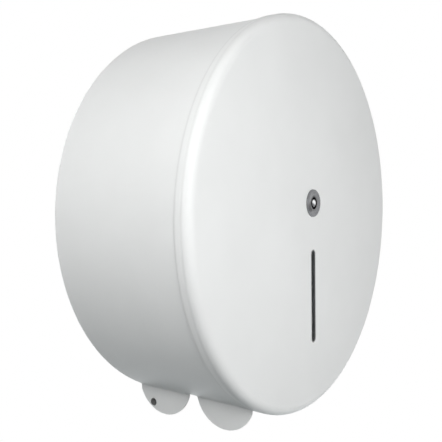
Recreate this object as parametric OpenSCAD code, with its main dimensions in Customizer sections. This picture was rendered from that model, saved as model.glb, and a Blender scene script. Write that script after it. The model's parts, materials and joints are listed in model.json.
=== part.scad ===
// Jumbo toilet roll dispenser: a round sheet-steel drum that hinges down from
// a wall plate, with a spindle for one large roll and a quarter-turn lock.
// The wall is the plane y = 0, the front faces -Y and +Z is up. Pieces are
// drawn in the wall's own frame, x across, y up and z out from the wall, and
// in_wall_frame() stands them up.

/* [Drum] */
// Outside diameter of the drum
drum_d = 310; // [290:5:340]
// Depth from the wall to the front face
drum_depth = 120; // [117:1:140]
// Thickness of the cover's steel sheet
sheet_t = 1; // [0.8:0.1:1.4]
// Outside radius of the front panel's rounded edge
edge_r = 6.5; // [4:0.5:9]
// Depth of the front panel's skirt, from its face to the seam
skirt_depth = 11.5; // [10:0.5:14]
// Gap between the drum's back edge and the wall
wall_gap = 1; // [0.5:0.5:2]

/* [Paper exit] */
// Width of the paper exit, over the outside of its two lips
exit_w = 146; // [130:2:156]
// Inside radius of the bend between drum and lip
lip_bend_r = 2.5; // [1.5:0.5:4]
// Radius of the two lobes on each lip
lobe_r = 26; // [23:0.5:26.5]
// Height of the lobes' centres above the end of the bend
lobe_rise = 7; // [5:0.5:8]

/* [View slot] */
// Width of the paper-level slot
slot_w = 6; // [5:0.5:9]
// Length of the slot, end to end
slot_l = 73.5; // [50:0.5:90]
// Distance of the slot's middle below the drum's centre
slot_drop = 65; // [60:1:75]

/* [Wall plate] */
// Thickness of the wall plate's sheet
plate_t = 1.5; // [1.2:0.1:2]
// Radial gap between the plate's rim and the drum
rim_gap = 3.5; // [3:0.5:5]
// Depth of the plate's rim
rim_depth = 8; // [6:0.5:9]
// Distance of the stiffening bead's middle inside the rim
bead_inset = 24; // [20:1:28]
// Radius of the raised boss under the spindle
boss_r = 38; // [37:0.5:42]
// Height that the boss is raised
boss_h = 4; // [3.5:0.5:5]
// Distance between the fixing slots, across
fix_dx = 150; // [140:5:160]
// Distance between the fixing slots, up
fix_dz = 150; // [140:5:160]
// Width of a fixing slot
fix_w = 6.5; // [5:0.5:8]
// Length of a fixing slot, end to end
fix_l = 14; // [12:0.5:18]

/* [Hinge] */
// Diameter of the hinge pins
pin_d = 4; // [3:0.5:5]
// Distance of the hinge axis from the wall
pin_depth = 13.5; // [13:0.5:15]
// Distance of the hinge axis below the lobes' centres
pin_drop = 18.3; // [16:0.1:19]
// Diameter of the pins' domed heads
pin_head_d = 6; // [5.4:0.2:7]
// Height of the pins' heads
pin_head_h = 1.8; // [1.2:0.2:2.4]
// Radius of the wall plate's ears round the pins
ear_r = 4.25; // [3.75:0.25:4.75]
// Gap between an ear and the lip beside it
ear_gap = 0.9; // [0.8:0.1:1.5]

/* [Spindle and hub] */
// Height of the spindle above the drum's centre
spindle_up = 9.5; // [5:0.5:12]
// Diameter of the steel spindle tube
post_d = 22; // [20:0.5:24]
// Wall of the spindle tube
post_wall = 2.5; // [2:0.5:3.5]
// Thickness of the spindle's base flange
flange_t = 3; // [2:0.5:4]
// Diameter of the rivets that hold the flange
rivet_d = 5; // [4:0.5:6]
// Diameter of the roll hub's barrel
hub_d = 50; // [46:1:54]
// Diameter of the hub's back flange
hub_flange_d = 80; // [70:1:100]
// Thickness of the hub's back flange
hub_flange_t = 2.5; // [2:0.25:4]
// Wall of the hub's moulding
hub_wall = 2.2; // [1.8:0.1:3]

/* [Lock] */
// Diameter of the lock's head
lock_head_d = 22; // [20:0.5:24]
// Height that the lock's head stands proud
lock_head_h = 1.6; // [1.4:0.1:2.4]
// Diameter of the lock's threaded barrel
barrel_d = 16; // [15:0.5:17]
// Diameter of the turning plug
plug_d = 12; // [11:0.5:13]
// Thickness of the lock's nut
lock_nut_t = 5; // [4:0.5:6]
// Thickness of the cam
cam_t = 2; // [1.5:0.5:3]
// Width of the cam
cam_w = 6.5; // [6.5:0.5:7.5]
// Length of the cam, end to end
cam_l = 19; // [17:0.5:20]
// Thickness of the keeper's strip
keeper_t = 2; // [1.5:0.5:2.5]
// Width of the keeper
keeper_w = 24; // [22:1:26]

/* [Clearances] */
// Radial clearance of a pin or shaft that turns in a hole
run_clear = 0.05; // [0.02:0.01:0.1]
// Gap between faces of pieces that turn past each other
face_clear = 0.15; // [0.15:0.05:0.25]
// Room round the cam in the keeper
cam_clear = 1.5; // [1:0.5:2]
// Radial clearance of a screw or a barrel in its hole
hole_clear = 0.15; // [0.1:0.05:0.3]

/* [Hidden] */
$fn = 96;
eps = 0.5;

// Drum: the band runs inside the front panel's skirt
drum_r = drum_d / 2;
band_r = drum_r - sheet_t;
band_in_r = band_r - sheet_t;
panel_back = drum_depth - sheet_t;
edge_start = drum_depth - edge_r;
skirt_back = drum_depth - skirt_depth;
band_set_back = 0.5;
band_front = edge_start - band_set_back;

// Paper exit: a lip bends down from each end of the band
lip_x = exit_w / 2;
bend_x = lip_x + lip_bend_r;
bend_y = -sqrt(pow(band_r + lip_bend_r, 2) - pow(bend_x, 2));
bend_angle = atan2(bend_y, bend_x);
bend_outer_r = lip_bend_r + sheet_t;
lobe_y = bend_y + lobe_rise;
lobe_gap = 0.5;
lobe_trim = 1.8;
lip_front = skirt_back - lobe_gap;
lobe_back = wall_gap + lobe_r - lobe_trim;
lobe_front = lip_front - lobe_r + lobe_trim;
lip_cut_back = 0.8;
lip_zone_in = 20;
lip_zone = [60, 45];
neck_lap = 2;

// Wall plate
plate_r = band_in_r - rim_gap;
rim_bend_r = 3;
rim_cut_side = 10;
rim_cut_x = lip_x + rim_cut_side;
bead_r = plate_r - bead_inset;
bead_h = 2;
bead_round = 6;
boss_slope = 5;
boss_slope_inset = 1;
boss_land = 12;
boss_lap = 4;
boss_top = plate_t + boss_h;

// Hinge: ears stand inside the lips, with a washer on each pin
pin_r = pin_d / 2;
pin_y = lobe_y - pin_drop;
lip_in_x = lip_x - sheet_t;
ear_out_x = lip_in_x - ear_gap;
ear_in_x = ear_out_x - plate_t;
ear_foot = 11;
ear_rise = 26;
ear_root = 6;
ear_lean = 35;
foot_w = 26;
foot_h = 11;
fold_r = 2;
pin_tail_h = 1.4;
pin_tail_r = pin_r + 1.2;
hinge_washer_t = ear_gap - 2 * face_clear;
hinge_washer_r = pin_r + 2;

// Lock: a chain of depths from the front panel back to the spindle's end
lock_washer_t = 1;
barrel_tail = 0.5;
barrel_back = panel_back - lock_washer_t - lock_nut_t - barrel_tail;
stop_washer_t = 1;
keeper_room = 1.5;
keeper_face = barrel_back - stop_washer_t - keeper_room;
cam_face = keeper_face - keeper_t - cam_clear;
cam_back = cam_face - cam_t;
cam_screw_h = 2.2;
keeper_screw_h = 2.5;
keeper_base = cam_back - cam_screw_h - cam_clear - keeper_screw_h;
post_front = keeper_base - keeper_t;
lock_edge_r = 1.2;
lock_nut_wall = 3;
lock_nut_af = barrel_d + 2 * lock_nut_wall;
lock_washer_edge = 0.5;
lock_washer_r = lock_nut_af / 2 + lock_washer_edge;
lock_washer_teeth = 12;
lock_tooth_r = 1.2;
lock_dish_r = 9;
lock_dish = 0.5;
plug_front = drum_depth + lock_head_h - lock_dish;
plug_neck_r = 3;
plug_square = 4;
key_ring = [3, 4.9];
key_ring_depth = 5;
key_post_dome = 0.7;
key_post_edge = 0.2;
key_notch = [1.6, 0.8];
cam_screw_r = 1.25;
cam_screw_head_r = 3.2;
cam_screw_bite = 4;
cam_screw_runout = 1;
keeper_edge = 3.5;
keeper_up = cam_l / 2 + cam_clear + keeper_edge;
keeper_down = cam_l / 2 + keeper_edge;
keeper_notch_w = cam_w + 2 * cam_clear;
keeper_screw_r = 3;
keeper_screw_head_r = 5.4;
socket_af = 4;
socket_depth = 1.6;

// Spindle and hub
post_r = post_d / 2;
flange_inset = 5;
flange_r = boss_r - flange_inset;
rivet_edge = 9;
rivet_ring_r = flange_r - rivet_edge;
rivet_head_r = rivet_d / 2 + 1.5;
rivet_head_h = 2;
rivet_tail_h = 1.6;
flange_top = boss_top + flange_t;
plug_len = 12;
rivet_clear = 0.7;
hub_back = flange_top + rivet_head_h + rivet_clear;
hub_washer_t = 1;
hub_washer_w = 6;
hub_washer_r = post_r + hub_washer_w;
hub_front = post_front - hub_washer_t - 2 * face_clear;
hub_r = hub_d / 2;
hub_bore_r = post_r + run_clear;
hub_relief = 0.8;
hub_land = 10;
hub_ribs = 8;
hub_rib_t = 2;
hub_rib_set_back = 4;
hub_taper = [1.2, 5];
hub_groove = [3, 1];
hub_groove_start = 2;

// ---- frames and repeated shapes ----

module in_wall_frame() rotate([90, 0, 0]) children();

module on_spindle() in_wall_frame() translate([0, spindle_up, 0]) children();

module both_sides() {
    children();
    mirror([1, 0, 0]) children();
}

// A flat outline drawn as (depth, up) becomes a sheet from x0 to x0 + t
module across(x0, t) {
    translate([x0 + t, 0, 0]) rotate([0, -90, 0]) linear_extrude(t) children();
}

// A round bar along x from x0, with its axis on the hinge
module hinge_bar(x0, h, r) {
    translate([x0, pin_y, pin_depth]) rotate([0, 90, 0]) cylinder(r = r, h = h);
}

module tube(r_out, r_in, z0, z1) {
    translate([0, 0, z0]) difference() {
        cylinder(r = r_out, h = z1 - z0);
        translate([0, 0, -eps]) cylinder(r = r_in, h = z1 - z0 + 2 * eps);
    }
}

module long_hole(length, width) {
    square([length - width, width], center = true);
    for (side = [-1, 1])
        translate([side * (length - width) / 2, 0]) circle(d = width);
}

// A shallow dome of base radius r and height h on the plane z = 0
module dome(r, h) {
    ball_r = (r * r + h * h) / (2 * h);
    intersection() {
        translate([0, 0, h - ball_r]) sphere(r = ball_r);
        cylinder(r = r + eps, h = h + eps);
    }
}

module hexagon(across_flats) circle(d = across_flats / cos(30), $fn = 6);

// ---- wall plate ----

// Half section of the disc: flat sheet, pressed bead and turned-up rim
module plate_section() {
    bead_centre = plate_t + bead_h - bead_round;
    square([plate_r - rim_bend_r, plate_t]);
    intersection() {
        translate([plate_r - rim_bend_r, rim_bend_r]) difference() {
            circle(r = rim_bend_r);
            circle(r = rim_bend_r - plate_t);
        }
        translate([plate_r - rim_bend_r, 0]) square(rim_bend_r);
    }
    translate([plate_r - plate_t, rim_bend_r]) square([plate_t, rim_depth - rim_bend_r]);
    intersection() {
        translate([bead_r, bead_centre]) circle(r = bead_round);
        translate([bead_r - bead_round, 0]) square([2 * bead_round, bead_round]);
    }
}

module plate_disc() {
    difference() {
        rotate_extrude($fn = 180) plate_section();
        rotate_extrude($fn = 180) translate([bead_r, plate_t + bead_h - bead_round])
            circle(r = bead_round - plate_t);
        intersection() {
            tube(plate_r + eps, plate_r - rim_bend_r, -eps, rim_depth + eps);
            translate([-rim_cut_x, -2 * plate_r, -eps])
                cube([2 * rim_cut_x, 2 * plate_r, rim_depth + 3 * eps]);
        }
        translate([0, spindle_up, -eps]) cylinder(r = boss_r + boss_land - boss_lap, h = plate_t + 2 * eps);
    }
}

// Raised boss that the spindle stands on, hollow behind
module plate_boss() {
    translate([0, spindle_up, 0]) rotate_extrude() polygon([
        [0, boss_h], [0, boss_top], [boss_r, boss_top], [boss_r + boss_slope, plate_t],
        [boss_r + boss_land, plate_t], [boss_r + boss_land, 0],
        [boss_r + boss_slope - boss_slope_inset, 0], [boss_r - boss_slope_inset, boss_h]]);
}

// Corner that widens the disc's foot at each side, with an ear folded forward
module plate_foot() {
    both_sides() {
        translate([ear_out_x - foot_w, pin_y + ear_foot, 0]) cube([foot_w, foot_h, plate_t]);
        across(ear_in_x, plate_t) ear_outline();
    }
}

module ear_outline() {
    translate([pin_depth, pin_y]) circle(r = ear_r);
    polygon([
        [0, pin_y + ear_foot],
        [pin_depth - ear_r * cos(ear_lean), pin_y - ear_r * sin(ear_lean)],
        [pin_depth + ear_r * cos(ear_lean), pin_y + ear_r * sin(ear_lean)],
        [ear_root, pin_y + ear_rise], [0, pin_y + ear_rise]]);
}

module fixing_slots() {
    for (x = [-1, 1], y = [-1, 1])
        translate([x * fix_dx / 2, y * fix_dz / 2, -eps])
            linear_extrude(plate_t + 2 * eps) long_hole(fix_l, fix_w);
}

module rivet_places() {
    for (a = [45:90:315]) rotate(a) translate([rivet_ring_r, 0, 0]) children();
}

module back_plate() {
    color("whitesmoke") in_wall_frame() difference() {
        union() {
            plate_disc();
            plate_boss();
            plate_foot();
        }
        fixing_slots();
        translate([0, spindle_up, 0]) rivet_places()
            cylinder(d = rivet_d, h = boss_top + eps);
        both_sides() {
            hinge_bar(ear_in_x - eps, plate_t + 2 * eps, pin_r);
            ear_fold();
        }
    }
}

// Rounds the outside of the fold between foot and ear
module ear_fold() {
    translate([ear_out_x - fold_r, pin_y + ear_rise + eps, fold_r])
        rotate([90, 0, 0]) linear_extrude(ear_rise - ear_foot + 2 * eps) difference() {
            translate([0, -fold_r - eps]) square([fold_r + eps, fold_r + eps]);
            circle(r = fold_r);
        }
}

// ---- spindle ----

module spindle_flange() {
    color("silver") on_spindle() difference() {
        tube(flange_r, post_r, boss_top, flange_top);
        rivet_places() cylinder(d = rivet_d, h = flange_top + eps);
    }
}

module spindle_post() {
    color("silver") on_spindle() tube(post_r, post_r - post_wall, boss_top, post_front);
}

module spindle_end_plug() {
    color("gray") on_spindle()
        tube(post_r - post_wall, keeper_screw_r, post_front - plug_len, post_front);
}

module spindle_rivets() {
    color("silver") on_spindle() rivet_places() {
        translate([0, 0, boss_h]) cylinder(d = rivet_d, h = boss_top + flange_t - boss_h);
        translate([0, 0, flange_top]) dome(rivet_head_r, rivet_head_h);
        translate([0, 0, boss_h]) mirror([0, 0, 1]) dome(rivet_head_r, rivet_tail_h);
    }
}

module hub_washer() {
    washer_z = post_front - hub_washer_t - face_clear / 2;
    color("silver") on_spindle()
        tube(hub_washer_r, post_r + run_clear, washer_z, washer_z + hub_washer_t);
}

// Bent strip: base on the spindle's end, a leg above, and a front with a notch
// that is open below, so that the cam leaves it as the drum swings down
module lock_keeper() {
    keeper_h = keeper_up + keeper_down;
    color("silver") on_spindle() difference() {
        union() {
            translate([-keeper_w / 2, -keeper_down, post_front]) cube([keeper_w, keeper_h, keeper_t]);
            translate([-keeper_w / 2, keeper_up - keeper_t, post_front])
                cube([keeper_w, keeper_t, keeper_face - post_front]);
            translate([-keeper_w / 2, -keeper_down, keeper_face - keeper_t])
                cube([keeper_w, keeper_h, keeper_t]);
        }
        translate([0, 0, post_front - eps]) cylinder(r = keeper_screw_r, h = keeper_t + 2 * eps);
        keeper_notch();
        keeper_fold(post_front + fold_r, 1);
        keeper_fold(keeper_face - fold_r, 0);
    }
}

module keeper_notch() {
    translate([0, 0, keeper_face - keeper_t - eps]) linear_extrude(keeper_t + 2 * eps) {
        notch_top = cam_l / 2 + cam_clear;
        translate([0, notch_top - keeper_notch_w / 2]) circle(d = keeper_notch_w);
        translate([-keeper_notch_w / 2, -keeper_down - eps])
            square([keeper_notch_w, keeper_down + eps + notch_top - keeper_notch_w / 2]);
    }
}

// Rounds the outside of a fold of the keeper, behind it or in front of it
module keeper_fold(z, behind) {
    translate([-keeper_w / 2 - eps, keeper_up - fold_r, z])
        rotate([90, 0, 90]) linear_extrude(keeper_w + 2 * eps) difference() {
            mirror([0, behind]) square(fold_r + eps);
            circle(r = fold_r);
        }
}

module keeper_screw() {
    color("silver") on_spindle() difference() {
        union() {
            translate([0, 0, post_front - plug_len]) cylinder(r = keeper_screw_r, h = plug_len + keeper_t);
            translate([0, 0, keeper_base]) cylinder(r = keeper_screw_head_r, h = keeper_screw_h);
        }
        translate([0, 0, keeper_base + keeper_screw_h - socket_depth])
            linear_extrude(socket_depth + eps) hexagon(socket_af);
    }
}

// ---- hinge ----

// Shouldered rivet: tail inside the ear, domed head outside the lip
module hinge_pin() {
    head_x = lip_x + face_clear;
    hinge_bar(ear_in_x - pin_tail_h, head_x - ear_in_x + pin_tail_h, pin_r);
    hinge_bar(ear_in_x - pin_tail_h, pin_tail_h, pin_tail_r);
    translate([head_x, pin_y, pin_depth]) rotate([0, 90, 0]) dome(pin_head_d / 2, pin_head_h);
}

module hinge_pin_left() {
    color("dimgray") in_wall_frame() mirror([1, 0, 0]) hinge_pin();
}

module hinge_pin_right() {
    color("dimgray") in_wall_frame() hinge_pin();
}

module hinge_washers() {
    color("ivory") in_wall_frame() both_sides() difference() {
        hinge_bar(ear_out_x + face_clear, hinge_washer_t, hinge_washer_r);
        hinge_bar(ear_out_x, ear_gap, pin_r);
    }
}

// ---- roll hub ----

// Half section of the moulding: back flange, outer barrel and inner sleeve
module hub_section() {
    sleeve_r = hub_bore_r + hub_wall;
    taper_start = hub_front - hub_taper[1];
    translate([hub_bore_r, hub_back]) square([hub_flange_d / 2 - hub_bore_r, hub_flange_t]);
    translate([hub_bore_r, hub_back]) square([sleeve_r - hub_bore_r, hub_front - hub_back]);
    polygon([
        [hub_r - hub_wall, hub_back], [hub_r, hub_back], [hub_r, taper_start],
        [hub_r - hub_taper[0], hub_front], [hub_r - hub_wall, hub_front]]);
}

module roll_hub() {
    rib_z = hub_back + hub_flange_t / 2;
    rib_x = hub_bore_r + hub_wall / 2;
    groove_z = hub_back + hub_flange_t + hub_groove_start;
    color("gainsboro") on_spindle() difference() {
        union() {
            rotate_extrude() hub_section();
            for (i = [0:hub_ribs - 1]) rotate(i * 360 / hub_ribs)
                translate([rib_x, -hub_rib_t / 2, rib_z])
                    cube([hub_r - hub_wall / 2 - rib_x, hub_rib_t, hub_front - hub_rib_set_back - rib_z]);
        }
        for (i = [0:hub_ribs - 1]) rotate((i + 0.5) * 360 / hub_ribs)
            translate([hub_r - hub_groove[1], -hub_groove[0] / 2, groove_z])
                cube([hub_groove[1] + eps, hub_groove[0], hub_front - groove_z + eps]);
        translate([0, 0, hub_back + hub_land])
            cylinder(r = hub_bore_r + hub_relief, h = hub_front - hub_back - 2 * hub_land);
    }
}

// ---- drum ----

// Section of the band with its two bent lips, seen along the depth: a round
// shape with a neck below, less the same shape one sheet further in
module band_section() {
    lip_end = lobe_y - lobe_r - eps;
    difference() {
        neck_section(band_r, lip_x, lip_bend_r, lip_end);
        neck_section(band_in_r, lip_in_x, bend_outer_r, lip_end - eps);
    }
}

module neck_section(round_r, neck_x, fillet_r, neck_end) {
    circle(r = round_r, $fn = 240);
    translate([-neck_x, neck_end]) square([2 * neck_x, -round_r / 2 - neck_end]);
    for (side = [0, 1]) mirror([side, 0]) neck_fillet(neck_x, fillet_r);
}

// Fills the corner between round and neck; both surfaces of the sheet share
// one centre of bend
module neck_fillet(neck_x, fillet_r) {
    reach = fillet_r + neck_lap;
    top_y = bend_y - reach * sin(bend_angle);
    difference() {
        polygon([
            [bend_x, bend_y], [bend_x - reach * cos(bend_angle), top_y],
            [neck_x - neck_lap, top_y], [neck_x - neck_lap, bend_y]]);
        translate([bend_x, bend_y]) circle(r = fillet_r);
    }
}

// Everything past the end of the band that isn't one of the lip's two lobes;
// a lobe's straight end is level with the end of the lip
module lip_waste() {
    difference() {
        linear_extrude(drum_depth) rotate(bend_angle)
            translate([band_r - lip_zone_in, -lip_zone[1]])
                square([lip_zone[0], lip_zone[1] + lip_cut_back]);
        intersection() {
            for (z = [lobe_back, lobe_front])
                translate([0, lobe_y, z]) rotate([0, 90, 0]) cylinder(r = lobe_r, h = drum_r);
            translate([0, -drum_d, 0]) cube([drum_r, drum_d, lip_front]);
        }
    }
}

module drum_band() {
    color("white") in_wall_frame() difference() {
        translate([0, 0, wall_gap]) linear_extrude(band_front - wall_gap) band_section();
        both_sides() {
            lip_waste();
            hinge_bar(lip_in_x - eps, sheet_t + 2 * eps, pin_r + run_clear);
        }
    }
}

// Half section of the front panel: face, rounded edge and skirt
module panel_section() {
    translate([0, panel_back]) square([drum_r - edge_r, sheet_t]);
    intersection() {
        translate([drum_r - edge_r, edge_start]) difference() {
            circle(r = edge_r);
            circle(r = edge_r - sheet_t);
        }
        translate([drum_r - edge_r, edge_start]) square(edge_r);
    }
    translate([band_r, skirt_back]) square([sheet_t, edge_start - skirt_back]);
}

module front_panel() {
    color("white") in_wall_frame() difference() {
        rotate_extrude($fn = 240) panel_section();
        translate([0, -slot_drop, panel_back - eps])
            linear_extrude(sheet_t + 2 * eps) rotate(90) long_hole(slot_l, slot_w);
        translate([0, spindle_up, panel_back - eps])
            cylinder(d = barrel_d + 2 * hole_clear, h = sheet_t + 2 * eps);
    }
}

// ---- lock ----

module lock_barrel() {
    color("silver") on_spindle() difference() {
        union() {
            translate([0, 0, barrel_back]) cylinder(d = barrel_d, h = drum_depth - barrel_back);
            translate([0, 0, drum_depth]) rotate_extrude() lock_head_section();
        }
        translate([0, 0, barrel_back - eps])
            cylinder(r = plug_d / 2 + run_clear, h = drum_depth - barrel_back + lock_head_h + 2 * eps);
    }
}

// Half section of the lock's head: dished face and rounded outer edge
module lock_head_section() {
    edge_x = lock_head_d / 2 - lock_edge_r;
    edge_z = lock_head_h - lock_edge_r;
    polygon([
        [0, 0], [edge_x, 0], [edge_x, lock_head_h], [lock_dish_r, lock_head_h],
        [plug_d / 2, lock_head_h - lock_dish], [0, lock_head_h - lock_dish]]);
    square([lock_head_d / 2, edge_z]);
    intersection() {
        translate([edge_x, edge_z]) circle(r = lock_edge_r);
        translate([edge_x, edge_z]) square(lock_edge_r);
    }
}

module lock_washer() {
    color("silver") on_spindle() difference() {
        tube(lock_washer_r, barrel_d / 2, panel_back - lock_washer_t, panel_back);
        for (i = [1:lock_washer_teeth]) rotate(i * 360 / lock_washer_teeth)
            translate([lock_washer_r, 0, panel_back - lock_washer_t - eps])
                cylinder(r = lock_tooth_r, h = lock_washer_t + 2 * eps);
    }
}

module lock_nut() {
    nut_z = panel_back - lock_washer_t - lock_nut_t;
    color("goldenrod") on_spindle() difference() {
        translate([0, 0, nut_z]) linear_extrude(lock_nut_t) hexagon(lock_nut_af);
        translate([0, 0, nut_z - eps]) cylinder(d = barrel_d, h = lock_nut_t + 2 * eps);
    }
}

// Half section of the plug's head: a ring-shaped keyway round a domed post
module lock_plug_section() {
    keyway_back = plug_front - key_ring_depth;
    polygon([
        [0, barrel_back], [plug_d / 2, barrel_back], [plug_d / 2, plug_front],
        [key_ring[1], plug_front], [key_ring[1], keyway_back], [key_ring[0], keyway_back],
        [key_ring[0], plug_front], [0, plug_front]]);
}

module lock_plug() {
    color("lightgray") on_spindle() difference() {
        union() {
            rotate_extrude() lock_plug_section();
            translate([0, 0, plug_front]) dome(key_ring[0] - key_post_edge, key_post_dome);
            translate([0, 0, cam_face]) cylinder(r = plug_neck_r, h = barrel_back - cam_face);
            translate([-plug_square / 2, -plug_square / 2, cam_back])
                cube([plug_square, plug_square, cam_t]);
        }
        translate([-key_notch[0] / 2, key_ring[0] + eps, plug_front - key_ring_depth])
            cube([key_notch[0], key_ring[1] + key_notch[1] - key_ring[0] - eps, key_ring_depth + eps]);
        translate([0, 0, cam_back - eps])
            cylinder(r = cam_screw_r, h = cam_t + cam_screw_bite + cam_screw_runout + eps);
    }
}

module lock_stop_washer() {
    color("silver") on_spindle()
        tube(plug_d / 2, plug_neck_r, barrel_back - stop_washer_t - face_clear, barrel_back - face_clear);
}

module lock_cam() {
    color("silver") on_spindle() translate([0, 0, cam_back]) difference() {
        linear_extrude(cam_t) rotate(90) long_hole(cam_l, cam_w);
        translate([-plug_square / 2, -plug_square / 2, -eps])
            cube([plug_square, plug_square, cam_t + 2 * eps]);
    }
}

module cam_screw() {
    color("silver") on_spindle() {
        translate([0, 0, cam_back]) cylinder(r = cam_screw_r, h = cam_t + cam_screw_bite);
        translate([0, 0, cam_back]) mirror([0, 0, 1]) dome(cam_screw_head_r, cam_screw_h);
    }
}

back_plate();
spindle_flange();
spindle_post();
spindle_end_plug();
spindle_rivets();
hub_washer();
lock_keeper();
keeper_screw();
hinge_pin_left();
hinge_pin_right();
hinge_washers();
roll_hub();
drum_band();
front_panel();
lock_barrel();
lock_washer();
lock_nut();
lock_plug();
lock_stop_washer();
lock_cam();
cam_screw();
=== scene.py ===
"""Looks of the jumbo toilet roll dispenser: finishes, small details, light and camera.

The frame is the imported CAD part: metres, wall plane y = 0, front towards -Y, +Z up.
"""
import json
import math

import bpy
from mathutils import Matrix, Vector


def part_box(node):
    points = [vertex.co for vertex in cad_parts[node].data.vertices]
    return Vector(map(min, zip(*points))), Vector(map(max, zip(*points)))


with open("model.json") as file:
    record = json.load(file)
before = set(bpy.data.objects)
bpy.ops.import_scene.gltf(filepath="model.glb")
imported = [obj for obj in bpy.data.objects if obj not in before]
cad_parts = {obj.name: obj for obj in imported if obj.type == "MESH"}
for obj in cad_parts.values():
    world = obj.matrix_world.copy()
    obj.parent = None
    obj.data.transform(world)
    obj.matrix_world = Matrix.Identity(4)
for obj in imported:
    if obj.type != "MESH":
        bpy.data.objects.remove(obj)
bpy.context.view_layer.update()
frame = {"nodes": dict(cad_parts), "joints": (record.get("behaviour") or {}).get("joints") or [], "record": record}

MM = 0.001
IMAGE_SIZE = 442

# ---- camera: fitted to the drum's outline and front edge ----

CAMERA_TARGET = Vector((0, -65, 0)) * MM
CAMERA_AZIMUTH = -56.89
CAMERA_ELEVATION = 3.29
CAMERA_ROLL = -0.68
CAMERA_DISTANCE = 513.5 * MM
FOCAL_PIXELS = 608.7
OPTICAL_CENTRE = (254.9, 213.6)
SENSOR_WIDTH = 36.0
CLIP = (0.01, 50)


def make_camera():
    """A camera at the photograph's viewing angle, framed for a square image."""
    azimuth = math.radians(CAMERA_AZIMUTH)
    elevation = math.radians(CAMERA_ELEVATION)
    roll = math.radians(CAMERA_ROLL)
    back = Vector((
        math.sin(azimuth) * math.cos(elevation),
        -math.cos(azimuth) * math.cos(elevation),
        math.sin(elevation)))
    level_right = Vector((0, 0, 1)).cross(back).normalized()
    level_up = back.cross(level_right)
    right = math.cos(roll) * level_right + math.sin(roll) * level_up
    up = -math.sin(roll) * level_right + math.cos(roll) * level_up
    data = bpy.data.cameras.new("camera")
    data.sensor_width = SENSOR_WIDTH
    data.lens = FOCAL_PIXELS / IMAGE_SIZE * SENSOR_WIDTH
    data.shift_x = (IMAGE_SIZE / 2 - OPTICAL_CENTRE[0]) / IMAGE_SIZE
    data.shift_y = (OPTICAL_CENTRE[1] - IMAGE_SIZE / 2) / IMAGE_SIZE
    data.clip_start, data.clip_end = CLIP
    camera = bpy.data.objects.new("camera", data)
    turn = Matrix((right, up, back)).transposed().to_4x4()
    camera.matrix_world = Matrix.Translation(CAMERA_TARGET + back * CAMERA_DISTANCE) @ turn
    bpy.context.scene.collection.objects.link(camera)
    bpy.context.scene.camera = camera


# ---- node helpers ----

# A stretch so long that its direction adds nothing to a distance.
ENDLESS = 10000
# Noise seldom leaves this range.
NOISE_LOW = 0.3
NOISE_HIGH = 0.7


def darker(colour, share):
    return tuple(channel * share for channel in colour)


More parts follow.
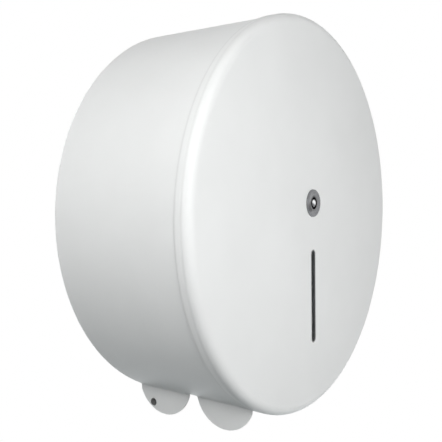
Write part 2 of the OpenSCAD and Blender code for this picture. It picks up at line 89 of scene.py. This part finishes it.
class Shader:
    """A material's node tree with short calls to add and join nodes."""

    def __init__(self, name):
        self.material = bpy.data.materials.new(name)
        self.material.use_nodes = True
        self.tree = self.material.node_tree
        self.tree.nodes.clear()
        self.output = self.tree.nodes.new("ShaderNodeOutputMaterial")
        self.surface = self.tree.nodes.new("ShaderNodeBsdfPrincipled")
        self.link(self.surface.outputs["BSDF"], self.output.inputs["Surface"])

    def link(self, source, target):
        self.tree.links.new(source, target)

    def set(self, **values):
        """Sets sockets of the surface. An underscore in a name stands for a space."""
        for name, value in values.items():
            self.surface.inputs[name.replace("_", " ")].default_value = value

    def node(self, kind, **inputs):
        """A new node whose sockets are joined to other sockets or set to values."""
        made = self.tree.nodes.new(kind)
        for name, value in inputs.items():
            socket = made.inputs[name.replace("_", " ")]
            if hasattr(value, "is_output"):
                self.link(value, socket)
            else:
                socket.default_value = value
        return made

    # Places and distances, in metres.

    def rest(self):
        """Where the point is while the object is at rest."""
        return self.tree.nodes.new("ShaderNodeTexCoord").outputs["Object"]

    def axes(self):
        """The rest place as x, y and z sockets."""
        parts = self.node("ShaderNodeSeparateXYZ", Vector=self.rest())
        return [parts.outputs[axis] for axis in "XYZ"]

    def reckon(self, kind, first, second=0):
        """The result of one Math node, such as ADD or MAXIMUM."""
        made = self.tree.nodes.new("ShaderNodeMath")
        made.operation = kind
        self.link(first, made.inputs[0])
        made.inputs[1].default_value = second
        return made.outputs[0]

    def length(self, vector):
        reach = self.node("ShaderNodeVectorMath", Vector=vector)
        reach.operation = "LENGTH"
        return reach.outputs["Value"]

    def from_axis(self, centre, turn=0, stretch=1):
        """Distance from the line along y through centre.

        It is divided by stretch in one direction, which is x turned about that line.
        """
        moved = self.node(
            "ShaderNodeMapping", Vector=self.rest(), Location=centre,
            Rotation=(0, turn, 0), Scale=(stretch, ENDLESS, 1))
        moved.vector_type = "TEXTURE"
        return self.length(moved.outputs[0])

    def from_slot(self, middle, half_length):
        """Distance from an upright line of that half length, seen along y."""
        x, _, z = self.axes()
        across = self.reckon("SUBTRACT", x, middle.x)
        level = self.reckon("ABSOLUTE", self.reckon("SUBTRACT", z, middle.z))
        beyond = self.reckon("MAXIMUM", self.reckon("SUBTRACT", level, half_length))
        flat = self.node("ShaderNodeCombineXYZ", X=across, Z=beyond)
        return self.length(flat.outputs[0])

    # Patterns, and what they are mapped to.

    def noise_at(self, place, grain, detail=2):
        """Noise over a place, with features about grain metres across."""
        made = self.node("ShaderNodeTexNoise", Vector=place, Scale=1 / grain, Detail=detail)
        return made.outputs["Fac"]

    def noise(self, grain, detail=2, stretch=(1, 1, 1)):
        """Noise over the rest place, which is stretched along each axis first."""
        place = self.node("ShaderNodeMapping", Vector=self.rest(), Scale=stretch)
        return self.noise_at(place.outputs[0], grain, detail)

    def turned(self, reach, grain):
        """Noise in rings about grain metres wide, as a lathe leaves them."""
        rings = self.node("ShaderNodeCombineXYZ", X=reach)
        return self.noise_at(rings.outputs[0], grain)

    def spread(self, factor, low, high, start=NOISE_LOW, end=NOISE_HIGH):
        """Maps a factor between start and end to numbers between low and high."""
        made = self.node("ShaderNodeMapRange", Value=factor)
        made.inputs["From Min"].default_value = start
        made.inputs["From Max"].default_value = end
        made.inputs["To Min"].default_value = low
        made.inputs["To Max"].default_value = high
        return made.outputs["Result"]

    def near(self, reach, start, end):
        """1 where reach is below start, fading to 0 at end."""
        return self.spread(reach, 1, 0, start, end)

    def line_at(self, depth, half_width):
        """1 on the line where y is -depth, fading to 0 at half_width from it."""
        away = self.reckon("ABSOLUTE", self.reckon("ADD", self.axes()[1], depth))
        return self.near(away, 0, half_width)

    def uneven(self, noise, colour, share):
        """The colour, darkened to a share of it where the noise is low."""
        ramp = self.node("ShaderNodeValToRGB", Fac=noise)
        first, last = ramp.color_ramp.elements
        first.position, first.color = NOISE_LOW, (*darker(colour, share), 1)
        last.position, last.color = NOISE_HIGH, (*colour, 1)
        return ramp.outputs["Color"]

    def over(self, under, colour, mask):
        """A colour laid over another one where mask is 1."""
        mixed = self.node("ShaderNodeMixRGB", Fac=mask, Color1=under, Color2=(*colour, 1))
        return mixed.outputs["Color"]

    # The surface.

    def colour(self, socket):
        self.link(socket, self.surface.inputs["Base Color"])

    def roughness(self, socket):
        self.link(socket, self.surface.inputs["Roughness"])

    def bump(self, *layers, edge=0.0):
        """Bumps from (height socket, depth in metres) pairs, over edges rounded to a radius."""
        normal = None
        if edge:
            normal = self.node("ShaderNodeBevel", Radius=edge).outputs["Normal"]
        for height, depth in layers:
            made = self.node("ShaderNodeBump", Strength=1, Distance=depth, Height=height)
            if normal is not None:
                self.link(normal, made.inputs["Normal"])
            normal = made.outputs["Normal"]
        self.link(normal, self.surface.inputs["Normal"])


# ---- finishes ----

WHITE = (0.80, 0.81, 0.805)
# Colour of the painted shade round the front panel's slot.
SLOT_EDGE_SHADE = (0.2, 0.203, 0.205)
ZINC = (0.62, 0.63, 0.64)
DARK_STEEL = (0.09, 0.09, 0.09)
HEAD_NICKEL = (0.24, 0.245, 0.255)
PLUG_NICKEL = (0.2, 0.204, 0.21)
NYLON = (0.72, 0.7, 0.62)
GREY_ABS = (0.42, 0.44, 0.45)

# Depths in front of the wall of the front panel's face and of its skirt's edge.
PANEL_FACE, SEAM = (-corner.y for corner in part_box("front_panel"))
SEAM_HALF_WIDTH = 1.7 * MM
# Share of the coat's colour in the seam: painted shade where the skirt meets the band.
SEAM_SHADE_TONE = 0.87
PRESS_LINE = PANEL_FACE - 6.3 * MM
PRESS_LINE_HALF_WIDTH = 1.2 * MM
# Share of the coat's colour on the press line: painted shade in the shallow line.
PRESS_LINE_SHADE_TONE = 0.94
PRESS_LINE_DEPTH = 0.16 * MM

SLOT_WIDTH = 6 * MM
SLOT_LENGTH = 73.5 * MM
SLOT_MIDDLE = Vector((0, 0, -65)) * MM
# Width of the painted shade round the slot.
SLOT_SHADE_RIM = 1.2 * MM

COAT_ROUGHNESS = (0.33, 0.41)
COAT_EDGE = 0.5 * MM
TURNED_ROUGHNESS = (0.16, 0.3)
TURNED_EDGE = 0.2 * MM
TURNED_GRAIN = 0.2 * MM

LOCK_CENTRE = Vector(next(
    joint["pos_m"] for joint in frame["joints"] if joint["name"] == "lock_turn"))
# Patches of painted light and shade on the lock, whole up to start and gone at end. First a painted dark
# reflection on the lower left of the head.
LOCK_DARK_REFLECTION = {
    "colour": (0.01, 0.01, 0.012), "centre": LOCK_CENTRE + Vector((-5.5, 0, -2.5)) * MM,
    "turn": 0, "stretch": 1, "start": 2.5 * MM, "end": 5 * MM}
# A painted highlight on the post of the plug, stretched along a slant.
POST_HIGHLIGHT = {
    "colour": (0.9, 0.91, 0.92), "centre": LOCK_CENTRE + Vector((-0.3, 0, 0.8)) * MM,
    "turn": math.radians(25), "stretch": 2.2, "start": 0.9 * MM, "end": 2.1 * MM}


def powder_coat(name, colour, pressed=False):
    """Semi-gloss powder coat: fine orange peel, a slow unevenness and softened sheet edges.

    It is darkened in the seam between panel and band, as painted shade. A pressed panel also has a shallow line
    where its edge begins to curve, bumped and darkened with painted shade, and painted shade on the cut edge of
    its slot.
    """
    shader = Shader(name)
    shader.set(Specular_IOR_Level=0.4)
    wave = shader.noise(grain=50 * MM)
    peel = shader.noise(grain=2.4 * MM)
    speck = shader.noise(grain=0.7 * MM, detail=1)
    layers = [(wave, 0.4 * MM), (peel, 0.04 * MM), (speck, 0.006 * MM)]
    coat = shader.uneven(wave, colour, share=0.97)
    # Painted shade along the seam between the panel's skirt and the band.
    seam = shader.line_at(SEAM, SEAM_HALF_WIDTH)
    coat = shader.over(coat, darker(colour, SEAM_SHADE_TONE), seam)
    if pressed:
        # The press line is a shallow bump, and it is also darkened with painted shade.
        line = shader.line_at(PRESS_LINE, PRESS_LINE_HALF_WIDTH)
        layers.append((line, -PRESS_LINE_DEPTH))
        coat = shader.over(coat, darker(colour, PRESS_LINE_SHADE_TONE), line)
        # Painted shade on the cut edge of the slot and just round it.
        reach = shader.from_slot(SLOT_MIDDLE, (SLOT_LENGTH - SLOT_WIDTH) / 2)
        rim = shader.near(reach, SLOT_WIDTH / 2, SLOT_WIDTH / 2 + SLOT_SHADE_RIM)
        coat = shader.over(coat, SLOT_EDGE_SHADE, rim)
    shader.colour(coat)
    shader.roughness(shader.spread(peel, *COAT_ROUGHNESS))
    shader.bump(*layers, edge=COAT_EDGE)
    return shader.material


def plated_steel(name, colour, roughness):
    """Zinc plate or dark steel: metal with a faint mottle and a fine grain."""
    shader = Shader(name)
    shader.set(Metallic=1)
    mottle = shader.noise(grain=4 * MM, detail=3)
    fine = shader.noise(grain=0.6 * MM)
    shader.colour(shader.uneven(mottle, colour, share=0.82))
    shader.roughness(shader.spread(fine, *roughness))
    shader.bump((fine, 0.01 * MM))
    return shader.material


def satin_nickel(name, colour, patch):
    """Turned and satin-plated metal round the lock's axis, with a patch of painted light and shade laid over it.
    """
    shader = Shader(name)
    shader.set(Metallic=1)
    rings = shader.turned(shader.from_axis(LOCK_CENTRE), TURNED_GRAIN)
    smear = shader.noise(grain=4 * MM)
    plain = shader.uneven(smear, colour, share=0.85)
    reach = shader.from_axis(patch["centre"], patch["turn"], patch["stretch"])
    inside = shader.near(reach, patch["start"], patch["end"])
    shader.colour(shader.over(plain, patch["colour"], inside))
    shader.roughness(shader.spread(rings, *TURNED_ROUGHNESS))
    shader.bump((rings, 0.006 * MM), edge=TURNED_EDGE)
    return shader.material


def moulded_plastic(name, colour, roughness):
    """Moulded plastic with slow flow marks along y and a fine spark-eroded grain."""
    shader = Shader(name)
    shader.set(Specular_IOR_Level=0.45)
    flow = shader.noise(grain=20 * MM, stretch=(1, 0.3, 1))
    eroded = shader.noise(grain=0.6 * MM)
    shader.colour(shader.uneven(flow, colour, share=0.95))
    shader.roughness(shader.spread(eroded, *roughness))
    shader.bump((eroded, 0.02 * MM))
    return shader.material


def dress_nodes():
    """Gives each CAD node its own finish, or else the one of its material slot."""
    by_slot = {
        "white_enamel": powder_coat("white_powder_coat", WHITE),
        "zinc_steel": plated_steel("zinc_plate", ZINC, roughness=(0.26, 0.42)),
        "pin_steel": plated_steel("dark_steel", DARK_STEEL, roughness=(0.34, 0.5)),
        "lock_chrome": satin_nickel("lock_head", HEAD_NICKEL, LOCK_DARK_REFLECTION),
        "nylon": moulded_plastic("natural_nylon", NYLON, roughness=(0.45, 0.57)),
        "hub_plastic": moulded_plastic("grey_abs", GREY_ABS, roughness=(0.4, 0.52))}
    own = {
        "front_panel": powder_coat("white_powder_coat_pressed", WHITE, pressed=True),
        "lock_plug": satin_nickel("lock_plug", PLUG_NICKEL, POST_HIGHLIGHT)}
    for part in frame["record"]["subparts"]:
        name = part["node"]
        node = frame["nodes"][name]
        node.data.materials.clear()
        node.data.materials.append(own.get(name, by_slot[part["material_slot"]]))


# ---- stage and light ----

BACKDROP = (1, 1, 1, 1)
ROOM_COLOUR = (0.96, 1.0, 1.01)
# The way to the room's pale side, and the strength there and opposite it.
ROOM_PALE_SIDE = (0.7, 0.7, 0.14)
ROOM_PALE = 0.055
ROOM_DIM = 0.015
LIGHT_AIM = Vector((0, -60, 0)) * MM
# Narrow, so that the lamp behind lights the back and not the floor.
BACK_SPREAD = math.radians(40)
# Low, so that the floor doesn't hide the object from below.
FLOOR_HEIGHT = -0.8
FLOOR_RADIUS = 1.3
FLOOR_CORNERS = 72
FLOOR_COLOUR = (0.39, 0.44, 0.45)
FLOOR_GLOW = 0.55
FLOOR_FADE = 0.78


def backdrop_rays(tree):
    """1 for the rays that see the backdrop itself: camera, glossy and transmission rays."""
    path = tree.nodes.new("ShaderNodeLightPath")
    found = path.outputs["Is Camera Ray"]
    for kind in ("Is Glossy Ray", "Is Transmission Ray"):
        either = tree.nodes.new("ShaderNodeMath")
        either.operation = "MAXIMUM"
        tree.links.new(found, either.inputs[0])
        tree.links.new(path.outputs[kind], either.inputs[1])
        found = either.outputs[0]
    return found


def make_world():
    """White to the camera and in reflections; else a room that is paler to the right and behind."""
    world = bpy.data.worlds.new("world")
    world.use_nodes = True
    bpy.context.scene.world = world
    tree = world.node_tree
    tree.nodes.clear()
    ray = tree.nodes.new("ShaderNodeTexCoord")
    along = tree.nodes.new("ShaderNodeVectorMath")
    along.operation = "DOT_PRODUCT"
    along.inputs[1].default_value = ROOM_PALE_SIDE
    level = tree.nodes.new("ShaderNodeMapRange")
    level.inputs["From Min"].default_value = -1
    level.inputs["From Max"].default_value = 1
    level.inputs["To Min"].default_value = ROOM_DIM
    level.inputs["To Max"].default_value = ROOM_PALE
    room = tree.nodes.new("ShaderNodeBackground")
    room.inputs["Color"].default_value = (*ROOM_COLOUR, 1)
    backdrop = tree.nodes.new("ShaderNodeBackground")
    backdrop.inputs["Color"].default_value = BACKDROP
    mix = tree.nodes.new("ShaderNodeMixShader")
    output = tree.nodes.new("ShaderNodeOutputWorld")
    tree.links.new(ray.outputs["Generated"], along.inputs[0])
    tree.links.new(along.outputs["Value"], level.inputs["Value"])
    tree.links.new(level.outputs["Result"], room.inputs["Strength"])
    tree.links.new(backdrop_rays(tree), mix.inputs["Fac"])
    tree.links.new(room.outputs[0], mix.inputs[1])
    tree.links.new(backdrop.outputs[0], mix.inputs[2])
    tree.links.new(mix.outputs[0], output.inputs["Surface"])


def area_light(name, place, size, power, in_gloss=False, spread=math.pi):
    """A round lamp aimed at the object; in_gloss lets glossy surfaces mirror it."""
    data = bpy.data.lights.new(name, "AREA")
    data.shape = "DISK"
    data.size = size
    data.energy = power
    data.spread = spread
    light = bpy.data.objects.new(name, data)
    light.location = place
    light.rotation_euler = (LIGHT_AIM - Vector(place)).to_track_quat("-Z", "Y").to_euler()
    light.visible_glossy = in_gloss
    bpy.context.scene.collection.objects.link(light)


def make_lights():
    """Small lamps near the drum, each mostly for one surface, so that light falls off over it."""
    area_light("side", (-0.72, 0.05, 0.28), size=0.4, power=2.83)
    area_light("side_top", (-0.5, -0.05, 0.5), size=0.4, power=0.08)
    area_light("edge", (-0.42, -0.38, 0.21), size=0.2, power=0.85)
    area_light("edge_glint", (-0.3, -0.42, 0.08), size=0.2, power=0.16, in_gloss=True)
    area_light("face_low", (0.2, -0.8, -0.1), size=0.4, power=1.73)
    area_light("face_left", (-0.12, -0.5, -0.05), size=0.3, power=0.56)
    area_light("face_top", (-0.15, -0.5, 0.25), size=0.25, power=0.18)
    area_light("right_rear", (1.1, 0.5, 0.1), size=0.7, power=8)
    area_light("right_top", (0.8, 0.3, 0.4), size=0.5, power=3)
    area_light("back", (0, 1.3, 0), size=0.3, power=0.4, spread=BACK_SPREAD)


def make_floor():
    """Plain pale floor, lifted to the backdrop's white but for the object's shadow."""
    mesh = bpy.data.meshes.new("floor")
    turns = [math.tau * corner / FLOOR_CORNERS for corner in range(FLOOR_CORNERS)]
    rim = [(FLOOR_RADIUS * math.cos(turn), FLOOR_RADIUS * math.sin(turn), 0) for turn in turns]
    mesh.from_pydata(rim, [], [range(len(rim))])
    floor = bpy.data.objects.new("floor", mesh)
    floor.location.z = FLOOR_HEIGHT
    bpy.context.scene.collection.objects.link(floor)
    shader = Shader("floor_paint")
    shader.set(Base_Color=(*FLOOR_COLOUR, 1), Roughness=0.7)
    glow = shader.spread(shader.length(shader.rest()), FLOOR_GLOW, 1, 0, FLOOR_FADE)
    white = shader.node("ShaderNodeEmission", Color=BACKDROP, Strength=glow)
    lifted = shader.node("ShaderNodeAddShader")
    shader.link(shader.surface.outputs["BSDF"], lifted.inputs[0])
    shader.link(white.outputs["Emission"], lifted.inputs[1])
    mix = shader.node("ShaderNodeMixShader", Fac=backdrop_rays(shader.tree))
    shader.link(shader.surface.outputs["BSDF"], mix.inputs[1])
    shader.link(lifted.outputs["Shader"], mix.inputs[2])
    shader.link(mix.outputs["Shader"], shader.output.inputs["Surface"])
    mesh.materials.append(shader.material)


bpy.context.scene.view_settings.view_transform = "Standard"
make_camera()
make_world()
make_lights()
make_floor()
dress_nodes()
